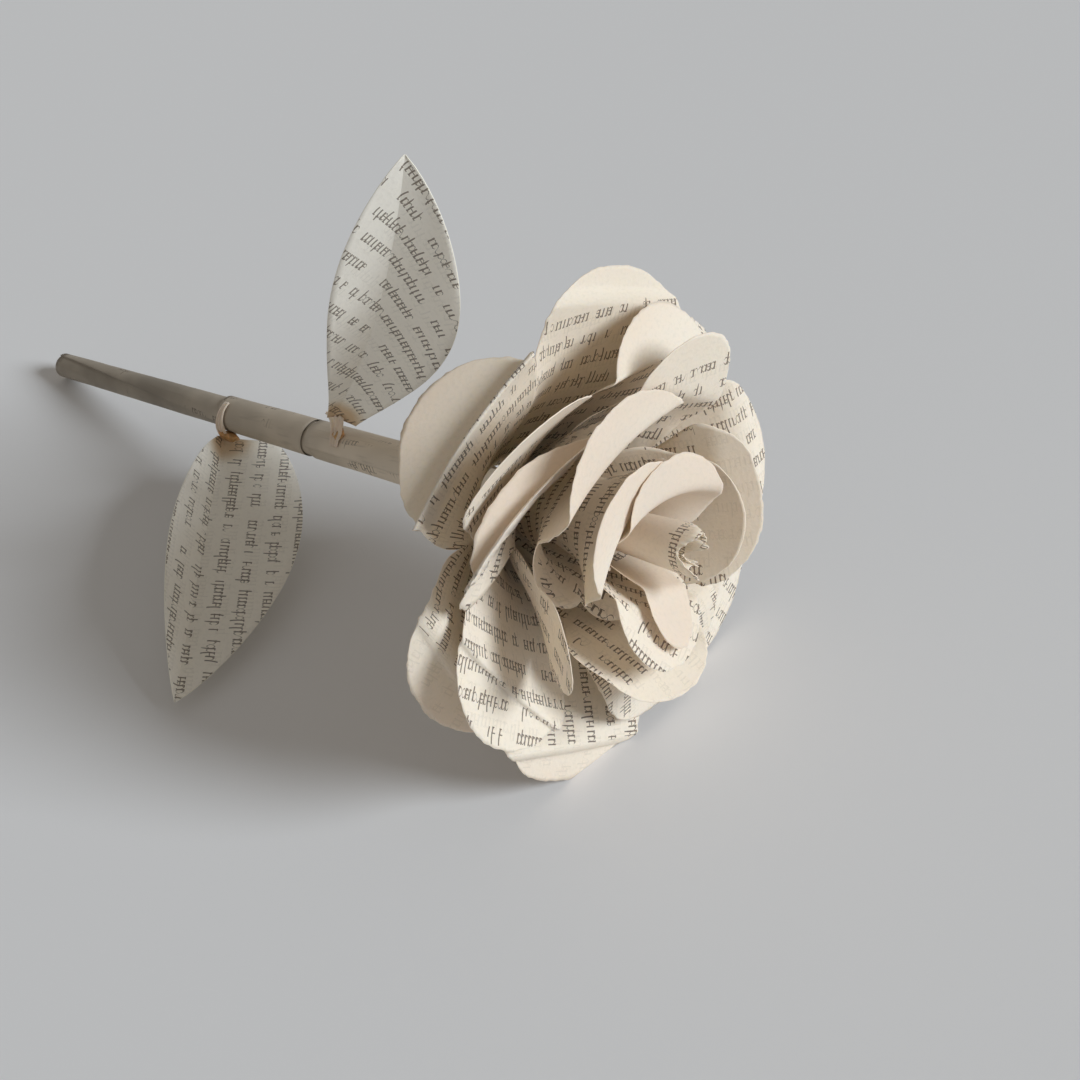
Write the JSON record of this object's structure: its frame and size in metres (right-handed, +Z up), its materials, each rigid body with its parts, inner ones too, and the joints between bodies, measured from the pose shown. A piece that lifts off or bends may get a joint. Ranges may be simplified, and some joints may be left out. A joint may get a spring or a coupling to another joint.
{
  "type": "paper rose",
  "caption": "Rose cut, rolled and glued from printed book pages: nested rings of curled petals round a rolled heart, on a rolled paper stem with folded leaves.",
  "frame": {"origin": "centre of the bounding box's bottom face, on the surface the rose lies on", "axes": "+X from the stem's cut end to the flower, +Y away from the lower leaf, +Z up from the surface"},
  "size_m": [0.1886, 0.0984, 0.0958],
  "materials": {
    "petal_paper": "matt uncoated book paper, cream, with rows of print",
    "leaf_paper": "matt uncoated book paper, greyish cream, with rows of print",
    "stem_paper": "matt paper, stained grey-brown by glue"
  },
  "bodies": {
    "root": {"stem": "stem_paper", "stem_wrap_lower": "stem_paper", "stem_wrap_upper": "stem_paper", "leaf_lower": "leaf_paper", "leaf_upper": "leaf_paper", "petal_ring_6": "petal_paper", "petal_ring_5": "petal_paper", "petal_ring_4": "petal_paper", "petal_ring_3": "petal_paper", "petal_ring_2": "petal_paper", "petal_ring_1": "petal_paper", "bud_roll": "petal_paper"}
  },
  "joints": []
}
